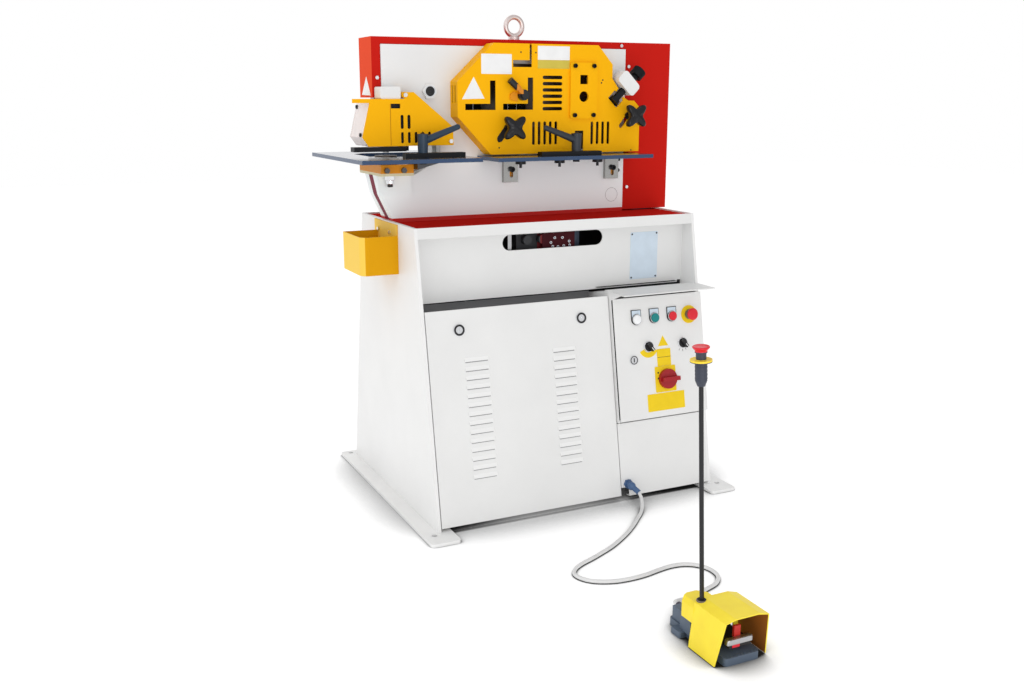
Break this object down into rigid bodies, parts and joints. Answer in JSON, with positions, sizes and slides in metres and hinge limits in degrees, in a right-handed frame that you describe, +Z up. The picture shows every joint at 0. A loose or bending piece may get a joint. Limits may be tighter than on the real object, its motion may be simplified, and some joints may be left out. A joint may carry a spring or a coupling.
{
  "type": "ironworker machine",
  "caption": "Floor-standing hydraulic ironworker: punch station with guard, angle, bar and flat shears, work tables, sloped cabinet with control door, and a corded foot pedal with stop post.",
  "frame": {"origin": "on the floor, amid the four anchor holes of the cabinet", "axes": "+Z up, operator at -Y, +X to the right as the operator sees it"},
  "size_m": [1.202, 1.857, 1.555],
  "materials": {
    "white_paint": "satin powder coat",
    "red_paint": "gloss paint",
    "yellow_paint": "gloss paint",
    "dark_paint": "satin paint",
    "motor_paint": "satin paint",
    "black_paint": "satin paint",
    "steel": "ground",
    "chrome": "polished",
    "fasteners": "plated and blacked",
    "black_plastic": "moulded",
    "green_plastic": "moulded",
    "red_plastic": "moulded",
    "yellow_plastic": "moulded",
    "blue_grey_plastic": "moulded",
    "cord_rubber": "smooth jacket",
    "clear_sheet": "clear plastic sheet"
  },
  "bodies": {
    "machine": {"left_side_panel": "white_paint", "right_side_panel": "white_paint", "back_panel": "white_paint", "cabinet_top": "red_paint", "upper_front_panel": "white_paint", "right_front_panel": "white_paint", "door_rail": "dark_paint", "enclosure_box": "white_paint", "tool_tray": "yellow_paint", "cable_gland": "blue_grey_plastic", "pedal_cord": "cord_rubber", "pedal_base": "blue_grey_plastic", "pedal_hood": "yellow_plastic", "stop_post": "black_plastic", "front_frame_plate": "white_paint", "rear_frame_plate": "white_paint", "rear_cover": "red_paint", "screws": "fasteners", "lifting_eye": "steel", "pivot_pin": "white_paint", "die_bolster": "yellow_paint", "fixed_tooling": "steel", "stripper": "black_paint", "punch_guard": "yellow_paint", "guard_window": "clear_sheet", "switch_box": "white_paint", "left_table": "steel", "shear_guard": "yellow_paint", "bar_shear_plate": "yellow_paint", "hold_down_block": "white_paint", "right_table": "steel", "cylinder_barrel": "steel", "hydraulic_unit": "dark_paint", "electric_motor": "motor_paint"},
    "front_door": {"front_door": "white_paint"},
    "left_door_catch": {"left_door_catch": "chrome"},
    "right_door_catch": {"right_door_catch": "chrome"},
    "enclosure_door": {"enclosure_door": "white_paint", "legend_plates": "black_plastic", "switch_plates": "yellow_plastic"},
    "start_button": {"start_button": "green_plastic"},
    "stop_button": {"stop_button": "red_plastic"},
    "emergency_button": {"emergency_button": "red_plastic"},
    "left_selector": {"left_selector": "black_plastic"},
    "right_selector": {"right_selector": "black_plastic"},
    "main_switch_knob": {"main_switch_knob": "red_plastic"},
    "enclosure_lock": {"enclosure_lock": "chrome"},
    "foot_pedal": {"foot_pedal": "steel"},
    "post_button": {"post_button": "red_plastic"},
    "rocker_beam": {"rocker_beam": "steel"},
    "punch_ram": {"punch_ram": "steel"},
    "left_gauge": {"left_gauge": "black_paint"},
    "left_clamp_lever": {"left_clamp_lever": "blue_grey_plastic"},
    "hold_down_screw": {"hold_down_screw": "black_paint"},
    "left_star_knob": {"left_star_knob": "black_plastic"},
    "right_star_knob": {"right_star_knob": "black_plastic"},
    "angle_handle": {"angle_handle": "black_plastic"},
    "right_gauge": {"right_gauge": "black_paint"},
    "right_clamp_lever": {"right_clamp_lever": "blue_grey_plastic"},
    "cylinder_rod": {"cylinder_rod": "chrome"}
  },
  "joints": [
    {"name": "front_door_tilt", "type": "hinge", "parent": "machine", "child": "front_door", "pos_m": [0, -0.40823, 0.02], "axis": [1, 0, 0], "range_deg": [0, 75]},
    {"name": "left_catch_turn", "type": "hinge", "parent": "front_door", "child": "left_door_catch", "pos_m": [-0.382, -0.30446, 0.60695], "axis": [0, -0.9847, 0.1741], "range_deg": [0, 90]},
    {"name": "right_catch_turn", "type": "hinge", "parent": "front_door", "child": "right_door_catch", "pos_m": [0.041, -0.30446, 0.60695], "axis": [0, -0.9847, 0.1741], "range_deg": [0, 90]},
    {"name": "enclosure_door_swing", "type": "hinge", "parent": "machine", "child": "enclosure_door", "pos_m": [0.499, -0.34452, 0.45218], "axis": [0, 0.1741, 0.9847], "range_deg": [0, 110]},
    {"name": "start_press", "type": "slide", "parent": "enclosure_door", "child": "start_button", "axis": [0, 0.9847, -0.1741], "range_m": [0, 0.004], "stiffness_N_per_m": 400, "springref_m": -0.003},
    {"name": "stop_press", "type": "slide", "parent": "enclosure_door", "child": "stop_button", "axis": [0, 0.9847, -0.1741], "range_m": [0, 0.004], "stiffness_N_per_m": 400, "springref_m": -0.003},
    {"name": "emergency_press", "type": "slide", "parent": "enclosure_door", "child": "emergency_button", "axis": [0, 0.9847, -0.1741], "range_m": [0, 0.004], "stiffness_N_per_m": 400, "springref_m": -0.003},
    {"name": "left_selector_turn", "type": "hinge", "parent": "enclosure_door", "child": "left_selector", "pos_m": [0.279, -0.33693, 0.49512], "axis": [0, -0.9847, 0.1741], "range_deg": [-45, 45]},
    {"name": "right_selector_turn", "type": "hinge", "parent": "enclosure_door", "child": "right_selector", "pos_m": [0.413, -0.33693, 0.49512], "axis": [0, -0.9847, 0.1741], "range_deg": [-45, 45]},
    {"name": "main_switch_turn", "type": "hinge", "parent": "enclosure_door", "child": "main_switch_knob", "pos_m": [0.343, -0.3566, 0.38385], "axis": [0, -0.9847, 0.1741], "range_deg": [0, 90]},
    {"name": "enclosure_lock_turn", "type": "hinge", "parent": "enclosure_door", "child": "enclosure_lock", "pos_m": [0.219, -0.34372, 0.45672], "axis": [0, -0.9847, 0.1741], "range_deg": [-90, 0]},
    {"name": "pedal_press", "type": "hinge", "parent": "machine", "child": "foot_pedal", "pos_m": [-0.127, -1.278, 0.044], "axis": [1, 0, 0], "range_deg": [0, 6], "stiffness_Nm_per_rad": 4, "springref_deg": -28.65},
    {"name": "post_button_press", "type": "slide", "parent": "machine", "child": "post_button", "axis": [0.0523, 0, -0.9986], "range_m": [0, 0.004], "stiffness_N_per_m": 500, "springref_m": -0.004},
    {"name": "rocker_swing", "type": "hinge", "parent": "machine", "child": "rocker_beam", "pos_m": [-0.362, 0.015, 1.313], "axis": [0, 1, 0], "range_deg": [-6, 0]},
    {"name": "punch_slide", "type": "slide", "parent": "machine", "child": "punch_ram", "axis": [0, 0, 1], "range_m": [-0.0136, 0]},
    {"name": "piston_slide", "type": "slide", "parent": "machine", "child": "cylinder_rod", "axis": [0, 0, 1], "range_m": [0, 0.084]},
    {"name": "left_gauge_slide", "type": "slide", "parent": "machine", "child": "left_gauge", "axis": [0, 1, 0], "range_m": [-0.045, 0.015]},
    {"name": "left_lever_turn", "type": "hinge", "parent": "left_gauge", "child": "left_clamp_lever", "pos_m": [-0.43, -0.155, 1.117], "axis": [0, 0, -1], "range_deg": [0, 90]},
    {"name": "right_gauge_slide", "type": "slide", "parent": "machine", "child": "right_gauge", "axis": [0, 1, 0], "range_m": [-0.015, 0.035]},
    {"name": "right_lever_turn", "type": "hinge", "parent": "right_gauge", "child": "right_clamp_lever", "pos_m": [0.093, -0.167, 1.112], "axis": [0, 0, 1], "range_deg": [0, 90]},
    {"name": "hold_down_turn", "type": "hinge", "parent": "machine", "child": "hold_down_screw", "pos_m": [0.322, -0.098, 1.334], "axis": [0.7071, 0, 0.7071], "continuous": true},
    {"name": "left_star_turn", "type": "hinge", "parent": "machine", "child": "left_star_knob", "pos_m": [-0.118, -0.098, 1.201], "axis": [0, -1, 0], "continuous": true},
    {"name": "right_star_turn", "type": "hinge", "parent": "machine", "child": "right_star_knob", "pos_m": [0.327, -0.098, 1.235], "axis": [0, -1, 0], "continuous": true},
    {"name": "angle_handle_turn", "type": "hinge", "parent": "machine", "child": "angle_handle", "pos_m": [-0.068, -0.098, 1.302], "axis": [0, -1, 0], "range_deg": [-45, 45]}
  ],
  "couplings": [
    {"joint": "punch_slide", "follows": "rocker_swing", "m_per_rad": 0.128},
    {"joint": "piston_slide", "follows": "rocker_swing", "m_per_rad": -0.799}
  ]
}
